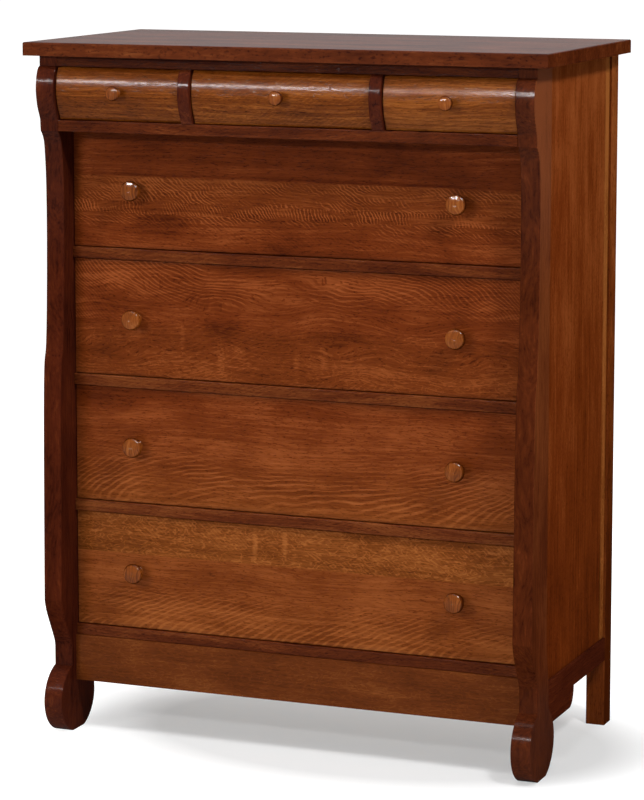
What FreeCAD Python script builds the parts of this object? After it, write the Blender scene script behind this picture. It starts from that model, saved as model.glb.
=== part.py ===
import FreeCAD
import Part
import math
import os
import re

# Chest of drawers with scroll posts: three small drawers over four long ones.
# Millimetres. X runs to the right of someone facing the chest, Y towards its back, Z up.
# The origin lies on the floor, under the middle of the chest's box.
# Setbacks are measured backwards from the front face of the top slab.

DOC = FreeCAD.newDocument("ChestOfDrawers")

SIZES = {
    # top slab and body
    "case_height": 1372.0,
    "body_width": 1010.0,
    "slab_width": 1060.0,
    "slab_depth": 530.0,
    "slab_thick": 26.0,
    "slab_round": 3.0,
    # scroll posts, sawn from thick boards
    "post_thick": 38.0,
    "post_depth": 105.0,
    "heel_depth": 120.0,
    "heel_flare": 70.0,
    "top_setback": 21.0,
    "scroll_swell": 18.0,
    "cornice_setback": 22.0,
    "neck_setback": 58.0,
    "neck_top": 165.0,
    "post_ease": 1.2,
    # oval front feet
    "foot_depth": 148.0,
    "foot_rise": 140.0,
    "foot_setback": 9.0,
    "sole_cut": 4.0,
    # square rear legs
    "leg_width": 38.0,
    "leg_depth": 42.0,
    "leg_ease": 1.5,
    # sides
    "panel_thick": 12.0,
    "panel_recess": 5.0,
    "tongue": 6.0,
    "side_rail_thick": 24.0,
    "side_rail_height": 46.0,
    "side_rail_bottom": 134.0,
    "bracket_drop": 39.0,
    "bracket_reach": 162.0,
    "bracket_nose": 28.0,
    # front rails, apron and dividers
    "top_rail_thick": 20.0,
    "top_rail_depth": 60.0,
    "cornice_depth": 90.0,
    "rail_thick": 22.0,
    "rail_setback": 80.0,
    "rail_depth": 70.0,
    "rail_ease": 1.5,
    "apron_height": 92.0,
    "apron_setback": 77.0,
    "apron_thick": 22.0,
    "divider_thick": 24.0,
    "middle_opening": 364.0,
    # drawer openings and fronts
    "long_opening": 230.0,
    "small_opening": 104.0,
    "front_gap": 1.6,
    "long_setback": 86.0,
    "front_thick": 20.0,
    "small_inset": 8.0,
    "small_thick": 35.0,
    "front_ease": 1.0,
    # drawer boxes
    "side_thick": 12.0,
    "box_back_thick": 12.0,
    "bottom_thick": 6.0,
    "bottom_lift": 12.0,
    "groove_depth": 6.0,
    "box_headroom": 13.0,
    "running_gap": 0.3,
    "box_rear_gap": 10.0,
    "tail_depth": 13.0,
    # runners, guides and stops
    "runner_width": 60.0,
    "guide_rise": 20.0,
    "stop_width": 40.0,
    "stop_depth": 14.0,
    "stop_height": 6.0,
    # back
    "back_thick": 6.0,
    "back_rebate": 10.0,
    "back_rail_thick": 18.0,
    "back_rail_height": 60.0,
    "back_bearer_height": 42.0,
    # turned knobs
    "long_knob": 40.0,
    "long_knob_reach": 31.0,
    "long_knob_offset": 334.0,
    "small_knob": 28.0,
    "small_knob_reach": 24.0,
    "tenon": 12.0,
    "tenon_clearance": 0.1,
    "overrun": 5.0,
}

# Levels and places that follow from the sizes.
PLACES = {
    "post_height": "case_height - slab_thick",
    "scroll_top": "post_height - top_rail_thick",
    "cornice_top": "scroll_top - small_opening",
    "cornice_bottom": "cornice_top - rail_thick",
    "level_1": "cornice_bottom - long_opening",
    "level_2": "level_1 - rail_thick - long_opening",
    "level_3": "level_2 - rail_thick - long_opening",
    "level_4": "level_3 - rail_thick - long_opening",
    "apron_top": "level_4 - rail_thick",
    "inner_half": "body_width / 2 - post_thick",
    "divider_centre": "(middle_opening + divider_thick) / 2",
    "crest_setback": "top_setback - scroll_swell",
    "small_setback": "crest_setback + small_inset",
    "knob_ahead": "small_knob_reach - small_setback",
    "front_line": "-(slab_depth - knob_ahead) / 2",
    "rear_line": "front_line + slab_depth",
    "leg_front": "rear_line - leg_depth",
    "back_line": "rear_line - back_thick",
    "back_rail_front": "back_line - back_rail_thick",
    "box_rear": "back_rail_front - box_rear_gap",
    "panel_outer": "body_width / 2 - panel_recess",
    "panel_inner": "panel_outer - panel_thick",
    "side_rail_top": "side_rail_bottom + side_rail_height",
    "long_back_face": "front_line + long_setback + front_thick",
    "small_back_face": "front_line + small_setback + small_thick",
    "long_box_height": "long_opening - box_headroom",
    "small_box_height": "small_opening - box_headroom",
    "pinned_base": "bottom_lift + bottom_thick",
}

# Outline of the scroll below its crest: share of the fall, share of the swell given back.
SCROLL_FALL_SHARES = ((0.375, 0.19), (0.59, 0.39), (0.8, 0.70), (1.0, 0.96))
SCROLL_CREST_SHARE = 0.54
# Front line of the post from the cornice to the neck: share of the height, share of the neck's setback.
COVE_SHARES = (
    (0.986, 0.565), (0.962, 0.66), (0.928, 0.715), (0.879, 0.745), (0.79, 0.74),
    (0.586, 0.56), (0.403, 0.325), (0.218, 0.175),
)
BELLY_SHARE = (0.148, 0.16)
OGEE_SHARES = ((0.117, 0.20), (0.088, 0.32), (0.048, 0.67), (0.021, 0.92))
# Half section of a turned knob, as arcs: share of the reach, share of the head's radius.
KNOB_BASE_SHARES = ((0.0, 0.62), (0.08, 0.60))
KNOB_NECK_SHARES = ((0.08, 0.60), (0.30, 0.46), (0.48, 0.60))
KNOB_RIM_SHARES = ((0.48, 0.60), (0.72, 1.0), (0.92, 0.86))
# Dovetails: share of the spacing that a tail takes at its wide end, and rise of its flank to its depth.
TAIL_WIDTH_SHARE = 0.68
TAIL_SLOPE_SHARE = 0.16
LONG_TAIL_COUNT = 5
SMALL_TAIL_COUNT = 3
STOP_SHARE = 0.3

SMALL_DRAWERS = ("small_drawer_left", "small_drawer_middle", "small_drawer_right")
LONG_DRAWERS = ("long_drawer_1", "long_drawer_2", "long_drawer_3", "long_drawer_4")


def make_sheet(name, cells):
    """A spreadsheet whose cells carry the aliases that the pieces are bound to."""
    sheet = DOC.addObject("Spreadsheet::Sheet", name)
    for row, (alias, content) in enumerate(cells.items(), start=1):
        sheet.set(f"A{row}", alias)
        sheet.set(f"B{row}", content)
        sheet.setAlias(f"B{row}", alias)
    return sheet


def linked(formula):
    """Writes the sheet's name before each size or place in a formula."""
    def name_of(match):
        word = match.group(0)
        if word in SIZES:
            return f"Sizes.{word}"
        return f"Places.{word}" if word in PLACES else word
    return re.sub(r"[a-z][a-z_0-9]*", name_of, formula)


SIZE_SHEET = make_sheet("Sizes", {alias: str(value) for alias, value in SIZES.items()})
DOC.recompute()
PLACE_SHEET = make_sheet("Places", {alias: "=" + linked(text) for alias, text in PLACES.items()})
DOC.recompute()


def size(alias):
    return getattr(SIZE_SHEET if alias in SIZES else PLACE_SHEET, alias)


def bind(item, prop, formula):
    item.setExpression(prop, linked(formula))


def bind_base(item, x="0", y="0", z="0"):
    for axis, formula in zip("xyz", (x, y, z)):
        bind(item, f"Placement.Base.{axis}", formula)


def named(item, label):
    item.Label = label
    return item


def block(name, x, y, z):
    """A box between two formulas on each axis."""
    box = DOC.addObject("Part::Box", name)
    for prop, (low, high) in zip(("Length", "Width", "Height"), (x, y, z)):
        bind(box, prop, f"({high}) - ({low})")
    bind_base(box, x[0], y[0], z[0])
    return box


def drill(name, x, y, z, radius, depth):
    """A cylinder that runs backwards along Y from a point."""
    rod = DOC.addObject("Part::Cylinder", name)
    bind(rod, "Radius", radius)
    bind(rod, "Height", depth)
    rod.Placement = FreeCAD.Placement(FreeCAD.Vector(), FreeCAD.Rotation(FreeCAD.Vector(1, 0, 0), -90))
    bind_base(rod, x, y, z)
    return rod


def together(name, items):
    group = DOC.addObject("Part::Compound", name)
    group.Links = items
    return group


def cut(name, base, tools):
    result = DOC.addObject("Part::Cut", name)
    result.Base = base
    result.Tool = tools[0] if len(tools) == 1 else together(f"{name}_tools", tools)
    return result


def mirrored(name, source):
    """The same piece on the other side of the middle of the chest."""
    twin = DOC.addObject("Part::Mirroring", name)
    twin.Source = source
    twin.Normal = FreeCAD.Vector(1, 0, 0)
    return twin


def point(across, up):
    return FreeCAD.Vector(across, up, 0)


def straight_run(points):
    return [Part.LineSegment(point(*a), point(*b)) for a, b in zip(points, points[1:])]


def smooth(points, start=None, end=None):
    """A curve through points, with a direction at each end where one is given."""
    curve = Part.BSplineCurve()
    if start and end:
        curve.interpolate(Points=[point(*p) for p in points], InitialTangent=point(*start),
                          FinalTangent=point(*end))
    else:
        curve.interpolate(Points=[point(*p) for p in points])
    return curve


def oval_arc(centre, half_across, half_up, start, end):
    """Part of an upright oval, between two angles measured from the across axis."""
    middle = point(*centre)
    if half_up >= half_across:
        oval = Part.Ellipse(point(centre[0], centre[1] + half_up),
                            point(centre[0] - half_across, centre[1]), middle)
        return Part.ArcOfEllipse(oval, start - math.pi / 2, end - math.pi / 2)
    oval = Part.Ellipse(point(centre[0] + half_across, centre[1]),
                        point(centre[0], centre[1] + half_up), middle)
    return Part.ArcOfEllipse(oval, start, end)


def padded(name, plane, curves, length, x="0", y="0", z="0"):
    """A body with one closed sketch on an origin plane, padded by a length."""
    body = DOC.addObject("PartDesign::Body", name)
    sketch = body.newObject("Sketcher::SketchObject", f"{name}_outline")
    sketch.AttachmentSupport = [(origin_plane(body, plane), "")]
    sketch.MapMode = "FlatFace"
    sketch.addGeometry(curves, False)
    pad = body.newObject("PartDesign::Pad", f"{name}_pad")
    pad.Profile = sketch
    bind(pad, "Length", length)
    body.Tip = pad
    sketch.Visibility = False
    bind_base(body, x, y, z)
    return body


def origin_plane(body, role):
    return next(item for item in body.Origin.OriginFeatures if item.Role == role)


def ease(body, alias, wanted, feature="Fillet"):
    """Rounds or bevels the edges of a body whose middle passes the test."""
    DOC.recompute()
    base = body.Tip
    names = [f"Edge{number}" for number, edge in enumerate(base.Shape.Edges, start=1)
             if wanted(edge.CenterOfMass)]
    dressing = body.newObject(f"PartDesign::{feature}", f"{body.Name}_ease")
    dressing.Base = (base, names)
    bind(dressing, "Radius" if feature == "Fillet" else "Size", alias)
    body.Tip = dressing
    return body


def rectangle(across, up):
    """Four lines between two places across and two places up."""
    (a, b), (c, d) = across, up
    return straight_run([(a, c), (b, c), (b, d), (a, d), (a, c)])


def near(value, place):
    return abs(value - place) < size("running_gap")


def scroll_curves(setback, top, bottom):
    """The convex scroll from its upper crease over its crest to its lower end."""
    crest = size("cornice_top") + SCROLL_CREST_SHARE * size("small_opening")
    swell = size("scroll_swell")
    rise = size("scroll_top") - crest
    centre = (setback + swell, crest)
    start = math.pi - math.asin((top - crest) / rise)
    fall = [(setback, crest)] + [(setback + share_in * swell, crest - share_down * (crest - bottom))
                                 for share_down, share_in in SCROLL_FALL_SHARES]
    entry = (centre[0] + swell * math.cos(start), top)
    return entry, [oval_arc(centre, swell, rise, start, math.pi), smooth(fall)], fall[-1]


def post_outline():
    """The sawn outline of a scroll post with its oval foot, in setbacks and heights."""
    crease = (size("top_setback"), size("scroll_top"))
    _, scroll, scroll_end = scroll_curves(size("crest_setback"), size("scroll_top"), size("cornice_top"))
    corner = (size("cornice_setback"), size("cornice_bottom"))
    neck, neck_top = size("neck_setback"), size("neck_top")
    span = size("cornice_bottom") - neck_top

    def on_post(share_up, share_in):
        return (share_in * neck, neck_top + share_up * span)

    belly = on_post(*BELLY_SHARE)
    front = smooth([corner] + [on_post(*pair) for pair in COVE_SHARES] + [belly], (1, -1), (0, -1))
    ogee = smooth([belly] + [on_post(*pair) for pair in OGEE_SHARES] + [(neck, neck_top)], (0, -1), (0, -1))
    centre, half_depth, half_rise = foot_oval()
    meet = math.pi - math.acos((centre[0] - neck) / half_depth)
    meet_up = centre[1] + half_rise * math.sin(meet)
    sole = math.asin(-centre[1] / half_rise)
    heel = math.acos((size("heel_depth") - centre[0]) / half_depth)
    sole_front = (centre[0] - half_depth * math.cos(sole), 0)
    sole_rear = (centre[0] + half_depth * math.cos(sole), 0)
    heel_point = (size("heel_depth"), centre[1] + half_rise * math.sin(heel))
    height = size("post_height")
    return (straight_run([(size("top_setback"), height), crease]) + scroll
            + straight_run([scroll_end, corner]) + [front, ogee]
            + straight_run([(neck, neck_top), (neck, meet_up)])
            + [oval_arc(centre, half_depth, half_rise, meet, math.pi - sole)]
            + straight_run([sole_front, sole_rear])
            + [oval_arc(centre, half_depth, half_rise, sole, heel)]
            + straight_run([heel_point, (size("heel_depth"), size("side_rail_top")),
                            (size("post_depth"), size("side_rail_top") + size("heel_flare")),
                            (size("post_depth"), height), (size("top_setback"), height)]))


def foot_oval():
    half_depth, half_rise = size("foot_depth") / 2, size("foot_rise") / 2
    return (size("foot_setback") + half_depth, half_rise - size("sole_cut")), half_depth, half_rise


def make_slab():
    half, depth = size("slab_width") / 2, size("slab_depth")
    slab = padded("top_slab", "XY_Plane", rectangle((-half, half), (0, depth)), "slab_thick",
                  y="front_line", z="post_height")
    top = size("slab_thick")
    return [ease(slab, "slab_round", lambda at: near(at.z, top))]


def make_posts():
    """Posts with bevelled arrises from the top of their sawn fronts down to the feet."""
    def on_front_arris(at):
        on_side = near(at.x, 0) or near(at.x, size("post_thick"))
        along = size("side_rail_bottom") < at.z and not near(at.z, size("post_height"))
        return on_side and along and at.y < size("post_depth") - size("tongue")

    board = padded("left_post_board", "YZ_Plane", post_outline(), "post_thick",
                   x="-body_width / 2", y="front_line")
    ease(board, "post_ease", on_front_arris, "Chamfer")
    groove = block("left_post_groove", ("-panel_outer", "-panel_inner"),
                   ("front_line + post_depth - tongue", "front_line + heel_depth + overrun"),
                   ("side_rail_top - tongue", "post_height + overrun"))
    post = cut("left_post", board, [groove])
    return [post, mirrored("right_post", post)]


def make_rear_legs():
    """Square legs with a groove for the side panel and a rebate for the back."""
    stock = padded("left_rear_leg_stock", "XY_Plane",
                   rectangle((0, size("leg_width")), (0, size("leg_depth"))), "post_height",
                   x="-body_width / 2", y="leg_front")
    ease(stock, "leg_ease", lambda at: near(at.x, 0) and near(at.y, 0))
    groove = block("left_leg_groove", ("-panel_outer", "-panel_inner"),
                   ("leg_front - overrun", "leg_front + tongue"),
                   ("side_rail_top - tongue", "post_height + overrun"))
    rebate = block("left_leg_rebate", ("-body_width / 2 + leg_width - back_rebate", "0"),
                   ("back_line", "rear_line + overrun"), ("side_rail_bottom", "post_height + overrun"))
    leg = cut("left_rear_leg", stock, [groove, rebate])
    return [leg, mirrored("right_rear_leg", leg)]


def make_sides():
    """A panel held in grooves, a bottom rail, and the shaped bracket under the rail."""
    panel = block("left_side_panel", ("-panel_outer", "-panel_inner"),
                  ("front_line + post_depth - tongue", "leg_front + tongue"),
                  ("side_rail_top - tongue", "post_height"))
    rail_stock = block("left_side_rail_stock", ("-body_width / 2", "-body_width / 2 + side_rail_thick"),
                       ("front_line + heel_depth", "leg_front"), ("side_rail_bottom", "side_rail_top"))
    rail_groove = block("left_side_rail_groove", ("-panel_outer", "-panel_inner"),
                        ("front_line + heel_depth - overrun", "leg_front + overrun"),
                        ("side_rail_top - tongue", "side_rail_top + overrun"))
    rail = cut("left_side_rail", rail_stock, [rail_groove])
    bracket = padded("left_bracket", "YZ_Plane", bracket_outline(), "side_rail_thick",
                     x="-body_width / 2", y="front_line")
    return [panel, rail, bracket, mirrored("right_side_panel", panel),
            mirrored("right_side_rail", rail), mirrored("right_bracket", bracket)]


def bracket_outline():
    """From the foot's heel along the underside to a rounded nose under the side rail."""
    centre, half_depth, half_rise = foot_oval()
    top = size("side_rail_bottom")
    low = top - size("bracket_drop")
    end = size("heel_depth") + size("bracket_reach")
    nose = size("bracket_nose")
    upper = math.acos((size("heel_depth") - centre[0]) / half_depth)
    lower = math.asin((low - centre[1]) / half_rise)
    heel_point = (size("heel_depth"), centre[1] + half_rise * math.sin(upper))
    toe_point = (centre[0] + half_depth * math.cos(lower), low)
    return (straight_run([toe_point, (end - nose, low)])
            + [oval_arc((end - nose, top), nose, size("bracket_drop"), -math.pi / 2, 0)]
            + straight_run([(end, top), (size("heel_depth"), top), heel_point])
            + [oval_arc(centre, half_depth, half_rise, lower, upper)])


def front_member(name, setback, depth, low, high, ease_radius=None):
    """A board across the front between the posts."""
    outline = rectangle((0, size(depth)), (0, size(high) - size(low)))
    member = padded(name, "YZ_Plane", outline, "2 * inner_half",
                    x="-inner_half", y=f"front_line + {setback}", z=low)
    if ease_radius:
        ease(member, ease_radius, lambda at: near(at.y, 0))
    return member


def make_front_frame():
    """Rails between the posts, from the one under the slab down to the apron."""
    rails = [front_member("top_rail", "top_setback", "top_rail_depth", "scroll_top", "post_height"),
             front_member("cornice_rail", "cornice_setback", "cornice_depth", "cornice_bottom",
                          "cornice_top", "rail_ease")]
    edges = (("drawer_rail_1", "level_1"), ("drawer_rail_2", "level_2"), ("drawer_rail_3", "level_3"),
             ("bottom_rail", "level_4"))
    for name, level in edges:
        body = padded(name, "YZ_Plane", rectangle((0, size("rail_depth")), (0, size("rail_thick"))),
                      "2 * inner_half", x="-inner_half", y="front_line + rail_setback",
                      z=f"{level} - rail_thick")
        ease(body, "rail_ease", lambda at: near(at.y, 0))
        rails.append(body)
    apron = block("apron", ("-inner_half", "inner_half"),
                  ("front_line + apron_setback", "front_line + apron_setback + apron_thick"),
                  ("apron_top - apron_height", "apron_top"))
    return rails + [apron]


def on_scroll_arris(at, board):
    """True where the scroll of a padded board runs down one of its two ends."""
    on_end = near(at.x, 0) or near(at.x, board.Tip.Length.Value)
    return on_end and at.y < size("small_setback") + size("scroll_swell")


def make_dividers():
    """Upright pieces between the small drawers, with the posts' scroll on their fronts."""
    entry, scroll, end = scroll_curves(size("crest_setback"), size("scroll_top"), size("cornice_top"))
    back = size("post_depth")
    outline = scroll + straight_run([end, (back, size("cornice_top")), (back, size("scroll_top")), entry])
    left = padded("left_divider", "YZ_Plane", outline, "divider_thick",
                  x="-divider_centre - divider_thick / 2", y="front_line")
    ease(left, "post_ease", lambda at: on_scroll_arris(at, left), "Chamfer")
    return [left, mirrored("right_divider", left)]


def make_back():
    """A thin panel in the legs' rebates, nailed to rails between the legs."""
    leg_inner = "body_width / 2 - leg_width"
    panel = block("back_panel", (f"-({leg_inner} + back_rebate)", f"{leg_inner} + back_rebate"),
                  ("back_line", "rear_line"), ("side_rail_bottom", "post_height"))
    span, depth = (f"-({leg_inner})", leg_inner), ("back_rail_front", "back_line")
    rails = [block("back_rail_top", span, depth, ("post_height - back_rail_height", "post_height")),
             block("back_rail_bearer", span, depth, ("cornice_top - back_bearer_height", "cornice_top")),
             block("back_rail_bottom", span, depth,
                   ("side_rail_bottom", "side_rail_bottom + back_rail_height"))]
    return [panel, together("back_rails", rails)]


def side_runner(name, level, front):
    """A runner against the left side, rebated so that its upstand guides the drawer."""
    stock = block(f"{name}_stock", ("-panel_inner", "-panel_inner + runner_width"),
                  (front, "leg_front"), (f"{level} - rail_thick", f"{level} + guide_rise"))
    rebate = block(f"{name}_rebate", ("-inner_half", "0"),
                   (f"{front} - overrun", "leg_front + overrun"), (level, f"{level} + guide_rise + overrun"))
    return cut(name, stock, [rebate])


def middle_runner(name):
    """A runner behind the left divider, with a guide that two small drawers share."""
    middle = "-divider_centre"
    rail_back = "front_line + cornice_setback + cornice_depth"
    base = block(f"{name}_base", (f"{middle} - runner_width / 2", f"{middle} + runner_width / 2"),
                 (rail_back, "back_rail_front"), ("cornice_bottom", "cornice_top"))
    guide = block(f"{name}_guide", (f"{middle} - divider_thick / 2", f"{middle} + divider_thick / 2"),
                  (rail_back, "back_rail_front"), ("cornice_top", "cornice_top + guide_rise"))
    runner = DOC.addObject("Part::Fuse", name)
    runner.Base = base
    runner.Tool = guide
    return runner


def make_runners():
    long_pairs = []
    for level in ("level_1", "level_2", "level_3", "level_4"):
        left = side_runner(f"runner_{level}", level, "front_line + rail_setback + rail_depth")
        long_pairs += [left, mirrored(f"runner_{level}_right", left)]
    outer = side_runner("small_runner_outer", "cornice_top", "front_line + cornice_setback + cornice_depth")
    middle = middle_runner("small_runner_middle")
    small = [outer, mirrored("small_runner_outer_right", outer),
             middle, mirrored("small_runner_middle_right", middle)]
    return [together("long_drawer_runners", long_pairs), together("small_drawer_runners", small)]


def make_stops():
    """Blocks on the rails that the closed drawer fronts come up to."""
    places = [(f"{sign}{STOP_SHARE} * 2 * inner_half", level, "long_back_face")
              for level in ("level_1", "level_2", "level_3", "level_4") for sign in ("-", "")]
    places += [(middle, "cornice_top", "small_back_face") for middle in small_centres()]
    stops = [block(f"stop_{number}", (f"{x} - stop_width / 2", f"{x} + stop_width / 2"),
                   (f"{face} + running_gap", f"{face} + running_gap + stop_depth"),
                   (level, f"{level} + stop_height"))
             for number, (x, level, face) in enumerate(places, start=1)]
    return [together("drawer_stops", stops)]


def small_centres():
    side = "(inner_half + divider_centre + divider_thick / 2) / 2"
    return (f"-{side}", "0", side)


def tail_points(count, base, height, root, tip):
    """The corners of a row of dovetails that stand on a board's end, from the lowest up."""
    spacing = (height - base) / count
    wide = TAIL_WIDTH_SHARE * spacing
    narrow = wide - 2 * TAIL_SLOPE_SHARE * abs(tip - root)
    rows = []
    for number in range(count):
        middle = base + (number + 1 / 2) * spacing
        rows.append([(root, middle - narrow / 2), (tip, middle - wide / 2),
                     (tip, middle + wide / 2), (root, middle + narrow / 2)])
    return rows


def box_side(name, drawer):
    """A drawer's left side: half-blind tails in the front, through tails in the back."""
    height, back_face, rear = drawer["height"], drawer["back_face"], size("box_rear")
    root = rear - size("box_back_thick")
    front = tail_points(drawer["tails"], 0, height, back_face, back_face - size("tail_depth"))
    pinned = size("pinned_base")
    back = tail_points(drawer["tails"] - 1, pinned, height, root, rear)
    corners = [(back_face, 0)] + [corner for tail in front for corner in tail] + [(back_face, height)]
    corners += [(root, height)] + [corner for tail in reversed(back) for corner in reversed(tail)]
    corners += [(root, pinned), (rear, pinned), (rear, 0), (back_face, 0)]
    board = padded(f"{name}_board", "YZ_Plane", straight_run(corners), "side_thick",
                   x=drawer["left"], z=drawer["base"])
    inside = f"{drawer['left']} + side_thick"
    groove = block(f"{name}_groove", (f"{inside} - groove_depth", f"{inside} + overrun"),
                   (f"{drawer['face_place']} - tail_depth - overrun", "box_rear + overrun"),
                   (f"{drawer['base']} + bottom_lift", f"{drawer['base']} + pinned_base"))
    sockets = [tail_block(f"{name}_tail_{number}", tail, drawer)
               for number, tail in enumerate(front + back, start=1)]
    return cut(name, board, [groove]), sockets[:len(front)], sockets[len(front):]


def tail_block(name, corners, drawer):
    """The solid of one tail, which cuts its socket in the front or the back."""
    return padded(name, "YZ_Plane", straight_run(corners + corners[:1]), "side_thick",
                  x=drawer["left"], z=drawer["base"])


def twin_across(name, source, drawer):
    """A copy of a piece on the other side of its own drawer."""
    twin = DOC.addObject("Part::Mirroring", name)
    twin.Source = source
    twin.Normal = FreeCAD.Vector(1, 0, 0)
    bind(twin, "Base.x", drawer["middle"])
    return twin


def knob(name, x, z, face, diameter, reach, through):
    """A turned knob whose tenon fills the bore in the drawer front."""
    radius, length = size(diameter) / 2, size(reach)
    tenon = size("tenon") / 2
    back = size(through)

    def turned(pairs):
        return [(share_out * radius, share_along * length) for share_along, share_out in pairs]

    curves = straight_run([(0, -back), (tenon, -back), (tenon, 0)] + turned(KNOB_BASE_SHARES))
    for row in (KNOB_NECK_SHARES, KNOB_RIM_SHARES):
        curves.append(Part.Arc(*(point(*place) for place in turned(row))))
    curves.append(crown_arc(turned(KNOB_RIM_SHARES)[-1], length))
    curves += straight_run([(0, length), (0, -back)])
    body = DOC.addObject("PartDesign::Body", name)
    sketch = body.newObject("Sketcher::SketchObject", f"{name}_section")
    sketch.AttachmentSupport = [(origin_plane(body, "XY_Plane"), "")]
    sketch.MapMode = "FlatFace"
    sketch.addGeometry([mirror_up(curve) for curve in curves], False)
    turning = body.newObject("PartDesign::Revolution", f"{name}_turning")
    turning.Profile = sketch
    turning.ReferenceAxis = (sketch, ["V_Axis"])
    turning.Angle = 360
    body.Tip = turning
    sketch.Visibility = False
    bind_base(body, x, face, z)
    return body


def crown_arc(edge, top):
    """The low dome of a knob's face, from its edge to the axis, which it meets square."""
    rise = top - edge[1]
    radius = (edge[0] ** 2 + rise ** 2) / (2 * rise)
    half_turn = math.asin(edge[0] / radius) / 2
    middle = (radius * math.sin(half_turn), top - radius * (1 - math.cos(half_turn)))
    return Part.Arc(point(*edge), point(*middle), point(0, top))


def mirror_up(curve):
    """Turns a section drawn with its reach upwards to one whose reach points to the front."""
    turned = curve.copy()
    half_turn = FreeCAD.Rotation(FreeCAD.Vector(1, 0, 0), 180)
    turned.transform(FreeCAD.Placement(FreeCAD.Vector(), half_turn).toMatrix())
    return turned


def small_front_blank(name, drawer):
    """A small front's blank, whose face keeps the posts' scroll a little further back."""
    low = size("cornice_top") + size("front_gap")
    high = size("scroll_top") - size("front_gap")
    entry, scroll, end = scroll_curves(size("small_setback"), high, low)
    back = size("small_setback") + size("small_thick")
    outline = scroll + straight_run([end, (back, low), (back, high), entry])
    blank = padded(name, "YZ_Plane", outline, f"{drawer['right']} - ({drawer['left']})",
                   x=drawer["left"], y="front_line")
    return ease(blank, "front_ease", lambda at: on_scroll_arris(at, blank), "Chamfer")


def long_front_blank(name, drawer):
    outline = rectangle((0, size("front_thick")), (0, size("long_opening") - 2 * size("front_gap")))
    body = padded(name, "YZ_Plane", outline, f"{drawer['right']} - ({drawer['left']})",
                  x=drawer["left"], y="front_line + long_setback", z=f"{drawer['level']} + front_gap")
    return ease(body, "front_ease", lambda at: near(at.y, 0))


def make_drawer(name, drawer):
    """One dovetailed drawer: front, sides, back, bottom and knobs."""
    side, front_tails, back_tails = box_side(f"{name}_side", drawer)
    sides = together(f"{name}_sides", [side, twin_across(f"{name}_side_right", side, drawer)])
    blank = drawer["blank"](f"{name}_front_blank", drawer)
    between = (f"{drawer['left']} + side_thick", f"{drawer['right']} - side_thick")
    inside = (f"{between[0]} - groove_depth", f"{between[1]} + groove_depth")
    slot = (f"{drawer['base']} + bottom_lift", f"{drawer['base']} + pinned_base")
    groove = block(f"{name}_front_groove", between,
                   (f"{drawer['face_place']} - groove_depth", f"{drawer['face_place']} + overrun"), slot)
    bores = [drill(f"{name}_bore_{number}", x, drawer["front_place"] + " - overrun", drawer["knob_height"],
                   "tenon / 2 + tenon_clearance", f"{drawer['thick']} + 2 * overrun")
             for number, x in enumerate(drawer["knobs"], start=1)]
    sockets = [socket for tail in front_tails
               for socket in (tail, twin_across(f"{tail.Name}_right", tail, drawer))]
    front = cut(f"{name}_front", blank, [groove] + bores + sockets)
    back_blank = block(f"{name}_back_blank", (drawer["left"], drawer["right"]),
                       ("box_rear - box_back_thick", "box_rear"),
                       (f"{drawer['base']} + pinned_base", f"{drawer['base']} + {drawer['box_height']}"))
    back = cut(f"{name}_back", back_blank,
               [socket for tail in back_tails
                for socket in (tail, twin_across(f"{tail.Name}_right", tail, drawer))])
    bottom = block(f"{name}_bottom", inside, (f"{drawer['face_place']} - groove_depth", "box_rear"), slot)
    knobs = [knob(f"{name}_knob_{number}", x, drawer["knob_height"], drawer["front_place"],
                  drawer["knob"], f"{drawer['knob']}_reach", drawer["thick"])
             for number, x in enumerate(drawer["knobs"], start=1)]
    knob_node = together(f"{name}_knobs", knobs) if len(knobs) > 1 else knobs[0]
    return [(f"{name}_front", front), (f"{name}_sides", sides), (f"{name}_back", back),
            (f"{name}_bottom", bottom), (f"{name}_knobs" if len(knobs) > 1 else f"{name}_knob", knob_node)]


def long_drawer(level):
    return {"left": "-(inner_half - front_gap)", "right": "inner_half - front_gap", "middle": "0",
            "level": level, "base": f"{level} + running_gap", "height": size("long_box_height"),
            "box_height": "long_box_height", "back_face": size("long_back_face"),
            "face_place": "long_back_face", "front_place": "front_line + long_setback",
            "thick": "front_thick", "tails": LONG_TAIL_COUNT, "blank": long_front_blank,
            "knob_height": f"{level} + long_opening / 2", "knob": "long_knob",
            "knobs": ("-long_knob_offset", "long_knob_offset")}


def small_drawer(left, right, middle):
    return {"left": f"{left} + front_gap", "right": f"{right} - front_gap", "middle": middle,
            "base": "cornice_top + running_gap", "height": size("small_box_height"),
            "box_height": "small_box_height", "back_face": size("small_back_face"),
            "face_place": "small_back_face", "front_place": "front_line + small_setback",
            "thick": "small_thick", "tails": SMALL_TAIL_COUNT, "blank": small_front_blank,
            "knob_height": f"cornice_top + {SCROLL_CREST_SHARE} * small_opening", "knob": "small_knob",
            "knobs": (middle,)}


def make_drawers():
    edge = "divider_centre + divider_thick / 2"
    gate = "divider_centre - divider_thick / 2"
    spans = (("-inner_half", f"-({edge})"), (f"-({gate})", gate), (edge, "inner_half"))
    nodes = []
    for name, span, middle in zip(SMALL_DRAWERS, spans, small_centres()):
        nodes += make_drawer(name, small_drawer(*span, middle))
    for number, name in enumerate(LONG_DRAWERS, start=1):
        nodes += make_drawer(name, long_drawer(f"level_{number}"))
    return nodes


def make_nodes():
    case = (make_slab() + make_posts() + make_rear_legs() + make_sides() + make_front_frame()
            + make_dividers() + make_back() + make_runners() + make_stops())
    return [(item.Name, item) for item in case] + make_drawers()


def check(nodes):
    """Stops the build if any object failed or any piece is empty or broken."""
    for item in DOC.Objects:
        if {"Invalid", "Error"} & set(item.State):
            raise RuntimeError(f"{item.Name} failed: {item.State}")
    for name, item in nodes:
        if item.Shape.isNull() or not item.Shape.isValid() or not item.Shape.Solids:
            raise RuntimeError(f"{name} has no valid solid")


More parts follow.
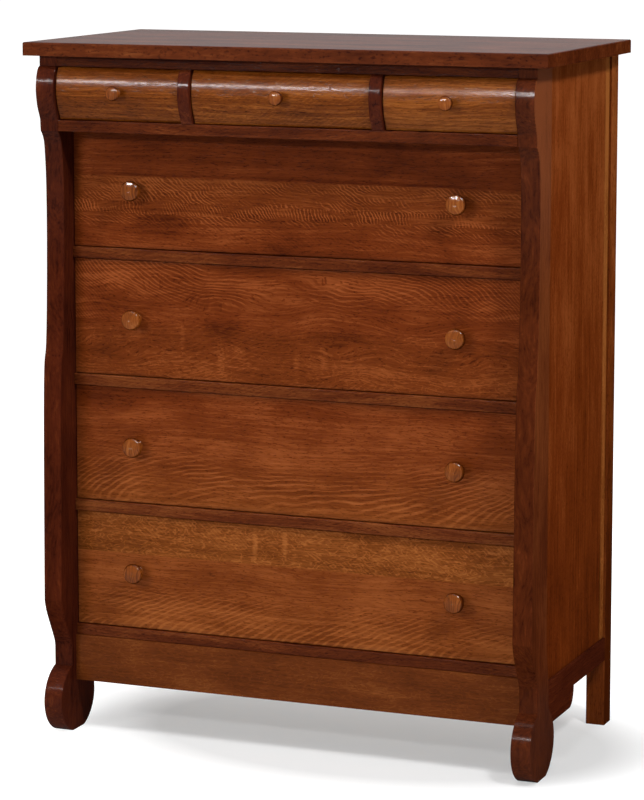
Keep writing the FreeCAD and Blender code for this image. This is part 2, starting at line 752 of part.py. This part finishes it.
def write(nodes):
    os.makedirs("parts", exist_ok=True)
    for name, item in nodes:
        named(item, name)
        item.Shape.exportStep(os.path.join("parts", f"{name}.step"))


NODES = make_nodes()
DOC.recompute()
check(NODES)
write(NODES)
box = Part.makeCompound([item.Shape for _, item in NODES]).BoundBox
print(f"{len(NODES)} pieces, {box.XLength:.1f} wide, {box.YLength:.1f} deep, {box.ZLength:.1f} high")
print(f"y {box.YMin:.2f} to {box.YMax:.2f}, z {box.ZMin:.2f} to {box.ZMax:.2f}")
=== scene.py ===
import math

import bpy
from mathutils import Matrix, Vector


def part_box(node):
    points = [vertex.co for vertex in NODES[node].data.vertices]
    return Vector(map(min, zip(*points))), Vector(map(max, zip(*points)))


# A chest of drawers in stained quarter-sawn white oak: scroll posts, three small drawers over four long.
# Metres, in the frame of the solids: the floor is z = 0 and the fronts face -y.

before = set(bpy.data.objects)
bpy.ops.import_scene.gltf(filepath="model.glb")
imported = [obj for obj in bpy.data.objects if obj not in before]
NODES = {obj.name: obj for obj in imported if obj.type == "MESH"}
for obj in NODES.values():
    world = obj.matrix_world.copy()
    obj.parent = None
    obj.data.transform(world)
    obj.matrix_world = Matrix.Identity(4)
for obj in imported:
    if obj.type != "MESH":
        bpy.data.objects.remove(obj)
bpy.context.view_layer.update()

X, Y, Z = 0, 1, 2
MM_IN_A_METRE = 1000

# The marks of the wood, in mm along the grain, across it and into it.
FIBRES = (26, 1.8, 6)
PORES = (9, 1.7, 5)  # a third of a millimetre wide in the wood, and drawn coarser, so that they show
CLOUDS = (150, 60, 90)
CURLS = (36, 14, 20)
LINE_LENGTH = 400
RAY_DEPTH = 60

# The patches in which rays drift and break off, in strokes along the grain and across it.
DRIFT_SIZE = (1.6, 0.9)
BREAK_SIZE = (3, 1)

# How far each kind of mark pulls the tone, and the tones at which a stain's three colours lie.
LINE_PULL, FIBRE_PULL, CLOUD_PULL, RAY_PULL, FLAKE_PULL = 1.2, 0.9, 0.75, 0.26, 0.26
TONE_PLACES = (0.05, 0.5, 0.95)

# The part of a noise or wave that shows as a mark, and how strong the mark is at both ends of it.
PORE_SPAN = (0.3, 0.42, 1.0, 0.0)
RAY_SPAN = (0.05, 1.0, -0.35, 1.1)  # rays are narrower than the gaps between them
STROKE_SPAN = (0.38, 0.60, 0.0, 1.0)
FLAKE_SPAN = (0.0, 0.06, 1.0, -0.2)
BLOT_RIM = (0.4, 1.2)  # in halves of the blot

NOISE_MEAN = 0.5
CLIMB_SPAN = 6.0  # a colour ramp holds 0 to 1, so climbs from -3 to 3 are fitted into that
BOARD_APART = 7.3  # metres of timber from one board of a glued-up panel to the next
RELIEF_DEPTH = 0.0004  # metres, of the open grain
LACQUER_IOR = 1.5
PAINTED_LIGHT_EVEN_HEIGHT = 0.7  # metres up, where the painted light on the outer sides neither lightens nor darkens them
POST_MIDDLE = 0.57  # metres up, the middle of the stretch where the posts are rubbed
RUBBED_REACH, LACQUERED_REACH = 0.35, 0.5  # metres from that middle, up and down


def linear(hex_colour):
    """An sRGB hex colour as the linear values that a socket holds."""
    shares = [int(hex_colour[i:i + 2], 16) / 255 for i in (1, 3, 5)]
    return [s / 12.92 if s <= 0.04045 else ((s + 0.055) / 1.055) ** 2.4 for s in shares] + [1.0]


def per_metre(millimetres):
    """How many times a pattern this wide fits in a metre."""
    return MM_IN_A_METRE / millimetres


def add(tree, kind, sockets=(), stops=(), between="LINEAR", **settings):
    """Adds a node and gives its outputs. Sockets, in order or by name, take a value or the output that
    feeds them. The stops of a colour ramp are positions with their colours, and between is how it goes
    from one to the next."""
    node = tree.nodes.new(f"ShaderNode{kind}")
    for name, value in settings.items():
        setattr(node, name, value)
    for socket, value in sockets.items() if isinstance(sockets, dict) else enumerate(sockets):
        if isinstance(value, bpy.types.NodeSocket):
            tree.links.new(value, node.inputs[socket])
        else:
            node.inputs[socket].default_value = value
    if stops:
        node.color_ramp.interpolation = between
        elements = node.color_ramp.elements
        while len(elements) > 1:
            elements.remove(elements[-1])
        while len(elements) < len(stops):
            elements.new(0.5)
        for element, (position, colour) in zip(elements, stops):
            element.position, element.color = position, colour
    return node.outputs


def new_material(name):
    material = bpy.data.materials.new(name)
    material.use_nodes = True
    material.node_tree.nodes.clear()
    return material, material.node_tree


def streaks(tree, place, sizes, detail=1.0, warp=0.0):
    """Noise whose patches are as long as sizes (mm) on the three axes of a place."""
    cells = add(tree, "VectorMath", (place, [per_metre(size) for size in sizes]), operation="MULTIPLY")[0]
    return add(tree, "TexNoise", {"Vector": cells, "Scale": 1.0, "Detail": detail, "Roughness": 0.55,
                                  "Distortion": warp})[0]


def about_nought(tree, noise):
    return add(tree, "Math", (noise, NOISE_MEAN), operation="SUBTRACT")[0]


def ray_strokes(tree, flat, length, share, width, climb, ray, bow, bend):
    """Silky rays that cross the grain aslant, side by side like ripples: above nought on a ray and below
    it between two."""
    stroke, apart, swing = ray
    slant = add(tree, "Math", (climb, 0.5), operation="SUBTRACT")[0]
    rise = add(tree, "Math", (slant, CLIMB_SPAN), operation="MULTIPLY")[0]
    straight = add(tree, "Math", (rise, length), operation="MULTIPLY")[0]
    cubed = add(tree, "Math", (length, 3.0), operation="POWER")[0]
    lift = add(tree, "Math", (cubed, bend, straight), operation="MULTIPLY_ADD")[0]
    inside = add(tree, "Math", (share, 0.0), operation="MAXIMUM")[0]
    flattened = add(tree, "Math", (inside, bow), operation="POWER")[0]
    height = add(tree, "Math", (flattened, width), operation="MULTIPLY")[0]
    above = add(tree, "Math", (height, lift), operation="SUBTRACT")[0]
    steep_squared = add(tree, "Math", (rise, rise, 1.0), operation="MULTIPLY_ADD")[0]
    steep = add(tree, "Math", (steep_squared,), operation="SQRT")[0]
    off_ray = add(tree, "Math", (above, steep), operation="DIVIDE")[0]

    drift = streaks(tree, flat, (*(stroke * size for size in DRIFT_SIZE), RAY_DEPTH), detail=2.0)
    drifted = add(tree, "Math", (drift, swing), operation="MULTIPLY")[0]
    turns = add(tree, "Math", (off_ray, per_metre(apart), drifted), operation="MULTIPLY_ADD")[0]
    angle = add(tree, "Math", (turns, math.tau), operation="MULTIPLY")[0]
    ripple = add(tree, "Math", (angle,), operation="SINE")[0]
    pale_lines = add(tree, "MapRange", (ripple, *RAY_SPAN))[0]
    patches = streaks(tree, flat, (*(stroke * size for size in BREAK_SIZE), RAY_DEPTH))
    broken = add(tree, "MapRange", (patches, *STROKE_SPAN))[0]
    return add(tree, "Math", (pale_lines, broken), operation="MULTIPLY")[0]


def painted_facing_tone(tree, facing, squared, axes, sawn, painted_rise):
    """Painted light and shade by the way a face looks: how much paler it is painted, darker below nought, and
    on the chest's outer sides how much paler it is painted higher up, as light from above.
    """
    sides = add(tree, "SeparateXYZ", (facing,))
    outward = add(tree, "Math", (sides[X], axes[X]), operation="MULTIPLY")[0]
    outer = add(tree, "Math", (outward, 0.0), operation="GREATER_THAN")[0]
    painted_side_light = add(tree, "Math", (axes[Z], painted_rise, sawn[X] - PAINTED_LIGHT_EVEN_HEIGHT * painted_rise), operation="MULTIPLY_ADD")[0]
    on_sides = add(tree, "Math", (outer, painted_side_light), operation="MULTIPLY")[0]
    on_faces = add(tree, "CombineXYZ", (on_sides, sawn[Y], sawn[Z]))[0]
    return add(tree, "VectorMath", (squared, on_faces), operation="DOT_PRODUCT")[1]


def mark_tone(tree, tone, length, breadth, low, high, ragged, mark):
    """The tone with one mark in it, whose rim is ragged."""
    at_length, at_share, half_length, half_height, deep = mark
    along = add(tree, "Math", (length, at_length), operation="SUBTRACT")[0]
    up = add(tree, "Math", (breadth, low + at_share * (high - low)), operation="SUBTRACT")[0]
    ahead = add(tree, "Math", (along, half_length / MM_IN_A_METRE), operation="DIVIDE")[0]
    above = add(tree, "Math", (up, half_height / MM_IN_A_METRE), operation="DIVIDE")[0]
    off_mark = add(tree, "CombineXYZ", (ahead, above))[0]
    away = add(tree, "VectorMath", (off_mark,), operation="LENGTH")[1]
    reach = add(tree, "Math", (away, ragged), operation="ADD")[0]
    darker = add(tree, "MapRange", (reach, *BLOT_RIM, deep, 0.0))[0]
    return add(tree, "Math", (tone, darker), operation="SUBTRACT")[0]


def one_board(pale, climb=0.0):
    return ((0.0, pale, climb),)


def even(rays, flakes, gold):
    return ((0.0, rays, flakes, gold),)


def stained_oak(name, along, across, tones, boards=one_board(0.5), figure=even(0.3, 0.0, 0.0),
                span=(0.0, 1.0), ray=(26, 7.0, 1.2), bow=1.0, bend=0.0, marks=(), line=5.0, contrast=0.5,
                wander=14.0, waves=330, pored=0.26, shine=(0.02, 0.05, 0.05), gloss=0.18, worn=0.0,
                sawn=(0.0, 0.0, 0.0), painted_rise=0.0, shift=0.0):
    """White oak under a red-brown stain and lacquer.
    The eye sees long growth lines, short dark pores and, on quarter-sawn faces, pale silky rays that
    run aslant over the grain.

    along, across   the axes along the grain and across the face, whose edges are at span
    tones           the stain on dark lines, on the body and on pale lines
    boards          where each starts between the edges, how pale it is and how its rays climb
    figure          from edge to edge, how strong rays, curling flakes and a golden cast are
    ray             how long the strokes are and how far apart (mm), and how much they drift
    bow, bend       how rays flatten away from the lower edge, and how they turn away from the middle
    marks           dark blots or, below nought, pale flakes: where along, where between the edges, half
                    the length and half the height (mm), how dark
    line, contrast  how wide growth lines are (mm) and how strong
    wander, waves   how far the grain strays (mm) and how long its waves are (mm)
    pored           how dark the pores are
    shine, gloss    how much lacquer is left after rubbing on faces that look along x, y and z, and how
                    rough it is; worn is the share of it that is gone between the feet and small drawers
    sawn, painted_rise  how much paler faces that look along x, y and z are painted, darker below nought, for
                    x on outer sides alone, and how much paler those are painted a metre higher: painted light
                    and shade
    shift           how far along the timber the piece was cut (m)"""
    material, tree = new_material(name)
    source = add(tree, "TexCoord")
    axes = add(tree, "SeparateXYZ", (source["Object"],))
    length, breadth, depth = axes[along], axes[across], axes[X + Y + Z - along - across]

    low, high = span
    above_low = add(tree, "Math", (breadth, low), operation="SUBTRACT")[0]
    share = add(tree, "Math", (above_low, high - low), operation="DIVIDE")[0]
    board_stops = [(start, (pale, climb / CLIMB_SPAN + 0.5, start, 1)) for start, pale, climb in boards]
    board = add(tree, "ValToRGB", (share,), board_stops, between="CONSTANT")[0]
    pale, climb, start = add(tree, "SeparateColor", (board,))
    drawn = add(tree, "ValToRGB", (share,), [(place, (*strengths, 1)) for place, *strengths in figure])[0]
    rays_here, flakes_here, gold_here = add(tree, "SeparateColor", (drawn,))

    # each board of a glued-up panel shows another stretch of the timber
    shifted = add(tree, "Math", (length, shift), operation="ADD")[0]
    timber = add(tree, "Math", (start, BOARD_APART, shifted), operation="MULTIPLY_ADD")[0]
    flat = add(tree, "CombineXYZ", (timber, breadth, depth))[0]
    sway = about_nought(tree, streaks(tree, flat, (waves, waves / 3, waves / 2)))
    bent = add(tree, "Math", (sway, wander * 2 / MM_IN_A_METRE, breadth), operation="MULTIPLY_ADD")[0]
    grain = add(tree, "CombineXYZ", (timber, bent, depth))[0]

    lines = streaks(tree, grain, (LINE_LENGTH, line, line * 3), detail=3.0)
    fibres = streaks(tree, grain, FIBRES)
    pores = add(tree, "MapRange", (streaks(tree, grain, PORES), *PORE_SPAN))[0]
    clouds = streaks(tree, flat, CLOUDS, detail=2.0)
    curls = about_nought(tree, streaks(tree, flat, CURLS, warp=1.6))

    strokes = ray_strokes(tree, flat, length, share, high - low, climb, ray, bow, bend)
    rays = add(tree, "Math", (strokes, rays_here), operation="MULTIPLY")[0]
    # flakes are rays cut almost flat, and curl over the face in pale rims
    off_rim = add(tree, "Math", (curls,), operation="ABSOLUTE")[0]
    rims = add(tree, "MapRange", (off_rim, *FLAKE_SPAN))[0]
    flakes = add(tree, "Math", (rims, flakes_here), operation="MULTIPLY")[0]

    facing = source["Normal"]
    squared = add(tree, "VectorMath", (facing, facing), operation="MULTIPLY")[0]
    # painted light and shade by the way each face looks, added to the board's own tone
    cut = painted_facing_tone(tree, facing, squared, axes, sawn, painted_rise)
    tone = add(tree, "Math", (pale, cut), operation="ADD")[0]
    for layer, pull in ((about_nought(tree, lines), contrast * LINE_PULL),
                        (about_nought(tree, fibres), contrast * FIBRE_PULL),
                        (about_nought(tree, clouds), CLOUD_PULL),
                        (rays, RAY_PULL), (flakes, FLAKE_PULL), (pores, -pored)):
        tone = add(tree, "Math", (layer, pull, tone), operation="MULTIPLY_ADD")[0]
    for mark in marks:
        tone = mark_tone(tree, tone, length, breadth, low, high, curls, mark)

    brown, golden = (add(tree, "ValToRGB", (tone,), list(zip(TONE_PLACES, map(linear, stain))))[0]
                     for stain in (tones, GOLDEN_TONES))
    colour = add(tree, "Mix", {0: gold_here, 6: brown, 7: golden}, data_type="RGBA")[2]

    relief = add(tree, "Math", (fibres, pores), operation="SUBTRACT")[0]
    bump = add(tree, "Bump", {"Height": relief, "Strength": 0.2, "Distance": RELIEF_DEPTH})[0]
    coat = add(tree, "VectorMath", (squared, shine), operation="DOT_PRODUCT")[1]
    from_middle = add(tree, "Math", (axes[Z], POST_MIDDLE), operation="SUBTRACT")[0]
    off_middle = add(tree, "Math", (from_middle,), operation="ABSOLUTE")[0]
    left = add(tree, "MapRange", (off_middle, RUBBED_REACH, LACQUERED_REACH, 1.0 - worn, 1.0))[0]
    lacquer = add(tree, "Math", (coat, left), operation="MULTIPLY")[0]
    # the wood itself is matt, and all that mirrors is the lacquer over it
    shader = add(tree, "BsdfPrincipled",
                 {"Base Color": colour, "Roughness": 0.5, "Specular IOR Level": 0.0, "Normal": bump,
                  "Coat Weight": lacquer, "Coat Roughness": gloss, "Coat IOR": LACQUER_IOR,
                  "Coat Normal": bump})[0]
    add(tree, "OutputMaterial", {"Surface": shader})
    return material


def give(material, *names):
    for name in names:
        for place in NODES[name].material_slots:
            place.material = material


def give_front(finish, drawer, tones, **drawing):
    bottom, top = (corner.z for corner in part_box(f"{drawer}_front"))
    name = f"{finish}, {drawer.replace('_', ' ')}"
    give(stained_oak(name, X, Z, tones, span=(bottom, top), **drawing), f"{drawer}_front")


# ---- wood ----
# the stain on dark lines, on the body and on pale lines
FRONT_TONES = ("#401504", "#652b0f", "#8e4a24")
SMALL_TONES = ("#371300", "#632e08", "#90511c")
GOLDEN_TONES = ("#4e260a", "#743e17", "#9a5c2a")
RAIL_TONES = ("#2e0e05", "#55250f", "#7c4420")
POST_TONES = ("#2a0d07", "#4a1d0e", "#6b341a")
SIDE_TONES = ("#401405", "#66290c", "#884520")
KNOB_TONES = ("#421a04", "#7c3e12", "#a8662c")
BOX_TONES = ("#a9855c", "#c8a479", "#dcc096")
PLY_TONES = ("#4a2c18", "#6b4528", "#86603c")

# each board's own drawing, from the lower edge up; the lower drawers' boards are paler, partly their own tone
# and partly painted light that brightens the fronts toward the bottom
LONG_FRONTS = {
    # a plain board above a band of short ripples
    "long_drawer_1": {
        "boards": ((0.0, 0.50, -0.6), (0.30, 0.52, -2.2), (0.40, 0.54, -0.8), (0.62, 0.42, 0.0)),
        "figure": ((0.0, 0.15, 0.1, 0.0), (0.2, 0.4, 0.15, 0.0), (0.32, 1.5, 0.1, 0.1),
                   (0.6, 1.0, 0.0, 0.2), (0.63, 0.1, 0.0, 0.0), (1.0, 0.05, 0.0, 0.0)),
        "ray": (26, 6.2, 3.2), "wander": 22.0,
        "marks": ((0.20, 0.84, 55, 30, 0.22), (-0.02, 0.08, 45, 20, 0.25),
                  (-0.27, 0.22, 60, 30, 0.15), (0.05, 0.64, 420, 4, 0.14))},
    # wide waves above curls, blots and small pale flakes
    "long_drawer_2": {
        "boards": ((0.0, 0.48, 0.5), (0.48, 0.56, 0.0)),
        "figure": ((0.0, 0.35, 0.5, 0.2), (0.42, 0.2, 0.4, 0.1), (0.5, 0.6, 0.1, 0.0), (1.0, 0.8, 0.0, 0.0)),
        "bend": -1.6, "ray": (80, 7.5, 6.0), "wander": 34.0, "waves": 190,
        "marks": ((-0.15, 0.50, 48, 26, 0.22), (-0.40, 0.62, 45, 40, 0.2), (0.09, 0.45, 70, 28, 0.2),
                  (-0.10, 0.95, 90, 20, 0.2), (-0.235, 0.36, 6, 24, -0.14), (-0.155, 0.20, 8, 42, -0.12),
                  (-0.19, 0.10, 20, 8, -0.14), (-0.335, 0.38, 16, 9, -0.12), (-0.115, 0.27, 16, 12, -0.12),
                  (0.005, 0.18, 7, 36, -0.12), (0.06, 0.24, 8, 30, -0.12))},
    # long stripes that swing up to both ends, under a quiet upper half
    "long_drawer_3": {
        "boards": one_board(0.59, 0.05),
        "figure": ((0.0, 0.5, 0.1, 0.5), (0.12, 0.85, 0.05, 0.35), (0.36, 0.85, 0.0, 0.2),
                   (0.5, 0.2, 0.0, 0.1), (1.0, 0.0, 0.0, 0.0)),
        "bow": 1.35, "bend": 0.85, "ray": (60, 8.5, 2.2), "wander": 22.0,
        "marks": ((-0.40, 0.92, 90, 30, 0.2),)},
    # a golden flaked board above one whose rays climb to the right
    "long_drawer_4": {
        "boards": ((0.0, 0.64, 0.34), (0.655, 0.58, -1.2)),
        "figure": ((0.0, 0.8, 0.0, 0.5), (0.22, 0.8, 0.0, 0.4), (0.38, 0.1, 0.0, 0.3),
                   (0.65, 0.0, 0.0, 0.3), (0.66, 0.3, 1.0, 0.8), (1.0, 0.3, 1.0, 0.7)),
        "bow": 1.3, "ray": (50, 7.0, 2.0), "wander": 20.0,
        "marks": ((-0.083, 0.83, 6, 34, -0.3), (-0.02, 0.85, 6, 28, -0.3))},
}
SMALL_FRONTS = {
    "small_drawer_left": {
        "boards": one_board(0.46, -0.5), "figure": ((0.0, 0.2, 0.3, 0.2), (1.0, 0.1, 0.1, 0.1))},
    "small_drawer_middle": {
        "boards": one_board(0.50, 0.6), "figure": ((0.0, 0.3, 0.4, 0.2), (1.0, 0.2, 0.1, 0.1))},
    "small_drawer_right": {
        "boards": one_board(0.58, 0.2), "figure": ((0.0, 0.2, 0.2, 0.3), (1.0, 0.2, 0.0, 0.3))},
}
# the top rail's low paleness is partly its own dark stain and partly painted shade, the slab's shadow on it
RAIL_PALENESS = {"top_rail": 0.24, "cornice_rail": 0.36, "drawer_rail_1": 0.45, "drawer_rail_2": 0.58,
                 "drawer_rail_3": 0.64, "bottom_rail": 0.40}

# quarter-sawn fronts: a silky figure under a thin satin lacquer that hardly mirrors
for number, (drawer, drawing) in enumerate(LONG_FRONTS.items(), start=1):
    give_front("lacquered quarter-sawn oak", drawer, FRONT_TONES, shift=1.7 * number, **drawing)
# rounded fronts: a golden brown with lively grain, and a bright band where the bulge mirrors a window
for number, (drawer, drawing) in enumerate(SMALL_FRONTS.items(), start=1):
    give_front("lacquered oak", drawer, SMALL_TONES, contrast=0.75, shift=2.3 * number,
               shine=(0.02, 0.12, 0.12), gloss=0.14, **drawing)

# rails: dark, with wide flat-sawn lines and no rays
for number, (rail, pale) in enumerate(RAIL_PALENESS.items()):
    give(stained_oak(f"lacquered flat-sawn oak, {rail.replace('_', ' ')}", X, Z, RAIL_TONES,
                     one_board(pale, 0.4), even(0.2, 0.2, 0.0), line=9.0, contrast=0.6, wander=40.0,
                     waves=500, shift=0.9 * number), rail)
# apron: one quiet board with faint curls
give(stained_oak("lacquered oak, apron", X, Z, RAIL_TONES, one_board(0.47, 0.3), even(0.1, 0.4, 0.3),
                 contrast=0.3, pored=0.12), "apron")
# top: the thickest lacquer, rubbed to a satin that turns grey where it is seen at a low angle; its top face
# is painted darker than its edges, a painted shade against the overhead light
give(stained_oak("lacquered oak, top slab", X, Y, RAIL_TONES, one_board(0.45, 0.3), even(0.1, 0.1, 0.0),
                 shine=(0.0, 0.02, 0.19), gloss=0.38, sawn=(0.0, 0.0, -0.22)), "top_slab")
# dividers: narrow, dark and glossy
give(stained_oak("lacquered oak, dividers", Z, Y, POST_TONES, one_board(0.45), even(0.1, 0.1, 0.0), line=6.0,
                 contrast=0.7, shine=(0.0, 0.07, 0.07), gloss=0.1), "left_divider", "right_divider")
# posts: the darkest wood, glossy on scroll and foot and rubbed between, with outer sides painted paler than
# the inner ones, more so higher up and darker toward the floor: painted light
for post, pale, gold, shift in (("left_post", 0.33, 0.0, 0.33), ("right_post", 0.30, 0.12, 0.30)):
    give(stained_oak(f"lacquered flat-sawn oak, {post.replace('_', ' ')}", Z, Y, POST_TONES, one_board(pale),
                     even(0.0, 0.15, gold), line=3.0, contrast=0.6, wander=26.0, waves=190, pored=0.1,
                     shine=(0.02, 0.06, 0.06), gloss=0.13, worn=1.0, sawn=(0.42, 0.06, 0.0), painted_rise=0.55,
                     shift=shift), post)
# side panels: matt and straight-grained, with a golden flaked strip glued on at the rear, and painted light
# that makes their outer faces paler higher up and darker toward the floor
front_edge, back_edge = (corner.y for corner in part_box("right_side_panel"))
give(stained_oak("rubbed oak, side panels", Z, Y, SIDE_TONES, ((0.0, 0.5, 0.0), (0.925, 0.74, 0.0)),
                 ((0.0, 0.1, 0.3, 0.1), (0.91, 0.1, 0.3, 0.2), (0.93, 0.1, 0.9, 0.9), (1.0, 0.1, 0.9, 0.9)),
                 (front_edge, back_edge), contrast=0.45, line=8.0, wander=24.0, waves=500,
                 shine=(0.0, 0.05, 0.05), painted_rise=0.36), "left_side_panel", "right_side_panel")
# rear legs, side rails and brackets: dull and dark, as parts that nobody polishes; the rear legs' outer sides
# are painted paler higher up and darker toward the floor, a painted light from above
give(stained_oak("rubbed oak, rear legs", Z, X, SIDE_TONES, one_board(0.4), even(0.1, 0.1, 0.35),
                 shine=(0.0, 0.05, 0.05), painted_rise=0.9), "left_rear_leg", "right_rear_leg")
give(stained_oak("rubbed oak, side rails and brackets", Y, Z, POST_TONES, one_board(0.42),
                 even(0.1, 0.1, 0.0), shine=(0.0, 0.1, 0.1)),
     "left_side_rail", "right_side_rail", "left_bracket", "right_bracket")
# knobs: turned and polished, with bold lines over a pale face, rims painted darker as painted shade, and
# sharp glints
SMALL_KNOBS = [f"{drawer}_knob" for drawer in SMALL_FRONTS]
LONG_KNOBS = [f"{drawer}_knobs" for drawer in LONG_FRONTS]
give(stained_oak("lacquered oak, turned knobs", Z, X, KNOB_TONES, one_board(0.46), even(0.1, 0.1, 0.0),
                 line=3.2, contrast=0.6, waves=70, pored=0.15, shine=(0.2, 0.2, 0.2), gloss=0.09,
                 sawn=(-0.5, 0.0, -0.5)), *SMALL_KNOBS, *LONG_KNOBS)
# drawer boxes and all that is hidden: pale, clean wood without stain
BOX_PIECES = [f"{drawer}_{piece}" for drawer in (*SMALL_FRONTS, *LONG_FRONTS)
              for piece in ("sides", "back", "bottom")]
give(stained_oak("clear-lacquered poplar, drawer boxes", Y, Z, BOX_TONES, one_board(0.5), even(0.1, 0.0, 0.0),
                 contrast=0.35, shine=(0.1, 0.1, 0.1)), *BOX_PIECES,
     "long_drawer_runners", "small_drawer_runners", "drawer_stops", "back_rails")
# back: thin plywood with a wash of stain and no lacquer
give(stained_oak("stained oak plywood, back", Z, X, PLY_TONES, one_board(0.5), even(0.0, 0.1, 0.0), line=9.0,
                 wander=40.0, shine=(0.0, 0.0, 0.0)), "back_panel")


# ---- studio ----
FLOOR_HALF = 60.0  # metres, so that its edge is out of sight
FARTHEST_SEEN = 200  # metres from the lens, past the floor's corners
PAINTED_SHADE_HALF = (0.54, 0.34)  # metres in x and y from the middle of the painted shade, an oval round the chest where the paper is dimmer for the lens
PAINTED_SHADE_SHIFT = -0.2  # in halves of the oval; below nought it lies to the right of the chest's middle
PAINTED_SHADE_RIM = (0.85, 1.4)  # in halves of the oval
UNDER_CHEST = 0.37  # how bright the paper inside it is for the lens, in no light
AMBIENT = 0.2  # the studio's own light, where 1 is white
# the camera, fitted to the corners in the photograph: mm, a share of the sensor, metres and degrees
SENSOR, LENS = 36.0, 141.106
LENS_SHIFT = -0.125
CAMERA_PLACE = (2.26167, -5.65471, 1.70608)
CAMERA_DIP, CAMERA_TURN = 7.865, 21.907

CHEST = (0, 0, 0.9)
UPPER_CHEST = (0, -0.2, 0.8)
# name, place, what it faces, width, height, watts, whether it is a card
LAMPS = (
    ("strip_softbox", (-1.5, -3.3, 2.1), CHEST, 1.2, 0.13, 54, False),
    ("strip_card", (-1.7, -3.3, 2.1), CHEST, 1.0, 0.13, 62, True),
    ("left_softbox", (-2.4, -1.4, 2.5), (0, 0, 0.7), 0.3, 0.3, 16, False),
    ("top_softbox", (0.0, -1.1, 4.6), (0, 0.1, 0), 2.6, 0.8, 75, False),
    ("right_softbox", (2.2, -1.3, 3.2), (0.3, 0, 0.9), 0.4, 0.4, 74, False),
    ("back_softbox", (-0.7, 3.4, 2.2), (0, 0, 1.0), 4.4, 1.8, 50, False),
    ("back_card", (-0.7, 3.4, 2.2), (0, 0, 1.0), 4.4, 1.8, 125, True),
    ("post_card", (-0.5, -3.3, 2.15), (0.5, -0.2, 1.2), 0.2, 0.4, 70, True),
    ("left_card", (-2.6, -0.6, 2.6), UPPER_CHEST, 0.45, 0.45, 100, True),
    ("right_card", (1.6, -1.2, 3.2), UPPER_CHEST, 0.6, 0.6, 180, True),
)

bpy.context.scene.view_settings.view_transform = "Standard"


def white_for_the_lens(tree):
    """One for what the lens sees, straight or in a shiny or clear surface, and nought for light on the
    object."""
    path = add(tree, "LightPath")
    seen = add(tree, "Math", (path["Is Camera Ray"], path["Is Glossy Ray"]), operation="MAXIMUM")[0]
    return add(tree, "Math", (seen, path["Is Transmission Ray"]), operation="MAXIMUM")[0]


def make_floor():
    """Matt paper that shows the chest's real shadow inside a painted shade, an oval round the chest where it
    is dimmer for the lens, and is plain white farther off.
    """
    mesh = bpy.data.meshes.new("studio_floor")
    corners = [(x * FLOOR_HALF, y * FLOOR_HALF, 0) for x, y in ((-1, -1), (1, -1), (1, 1), (-1, 1))]
    mesh.from_pydata(corners, [], [(0, 1, 2, 3)])
    floor = bpy.data.objects.new("studio_floor", mesh)
    bpy.context.scene.collection.objects.link(floor)
    material, tree = new_material("matt white paper floor")
    place = add(tree, "TexCoord")["Object"]
    scale = (1 / PAINTED_SHADE_HALF[X], 1 / PAINTED_SHADE_HALF[Y], 0)
    in_halves = add(tree, "VectorMath", (place, scale, (PAINTED_SHADE_SHIFT, 0, 0)), operation="MULTIPLY_ADD")[0]
    away = add(tree, "VectorMath", (in_halves,), operation="LENGTH")[1]
    seen = white_for_the_lens(tree)
    # the painted shade: the paper's glow for the lens is lower inside the oval round the chest
    bright = add(tree, "MapRange", (away, *PAINTED_SHADE_RIM, UNDER_CHEST, 1.0))[0]
    glow = add(tree, "Math", (seen, bright), operation="MULTIPLY")[0]
    # the paper throws light on the chest as white paper does, and takes a paler shadow for the lens
    paper = add(tree, "Mix", {0: seen, 6: linear("#e4e4e4"), 7: linear("#afafaf")}, data_type="RGBA")[2]
    shade = add(tree, "BsdfDiffuse", {"Color": paper})[0]
    lift = add(tree, "Emission", {"Color": linear("#ffffff"), "Strength": glow})[0]
    both = add(tree, "AddShader", (shade, lift))[0]
    add(tree, "OutputMaterial", {"Surface": both})
    mesh.materials.append(material)


def make_world():
    world = bpy.data.worlds.new("pale studio")
    world.use_nodes = True
    tree = world.node_tree
    tree.nodes.clear()
    strength = add(tree, "MapRange", (white_for_the_lens(tree), 0.0, 1.0, AMBIENT, 1.0))[0]
    sky = add(tree, "Background", {"Color": linear("#ffffff"), "Strength": strength})[0]
    add(tree, "OutputWorld", {"Surface": sky})
    bpy.context.scene.world = world


def make_lamp(name, place, aim, width, height, watts, card):
    """A rectangular lamp; a card is seen only in glossy surfaces and casts no light on matt ones."""
    lamp = bpy.data.lights.new(name, "AREA")
    lamp.shape = "RECTANGLE"
    lamp.size, lamp.size_y, lamp.energy = width, height, watts
    holder = bpy.data.objects.new(name, lamp)
    holder.location = place
    holder.rotation_euler = (Vector(aim) - Vector(place)).to_track_quat("-Z", "Y").to_euler()
    holder.visible_camera = False
    holder.visible_diffuse = not card
    bpy.context.scene.collection.objects.link(holder)


def make_camera():
    lens = bpy.data.cameras.new("camera")
    lens.sensor_width, lens.lens = SENSOR, LENS
    lens.shift_y = LENS_SHIFT
    lens.clip_end = FARTHEST_SEEN
    camera = bpy.data.objects.new("camera", lens)
    camera.location = CAMERA_PLACE
    camera.rotation_euler = (math.radians(90 - CAMERA_DIP), 0, math.radians(CAMERA_TURN))
    bpy.context.scene.collection.objects.link(camera)
    bpy.context.scene.camera = camera


make_floor()
make_world()
for lamp_row in LAMPS:
    make_lamp(*lamp_row)
make_camera()
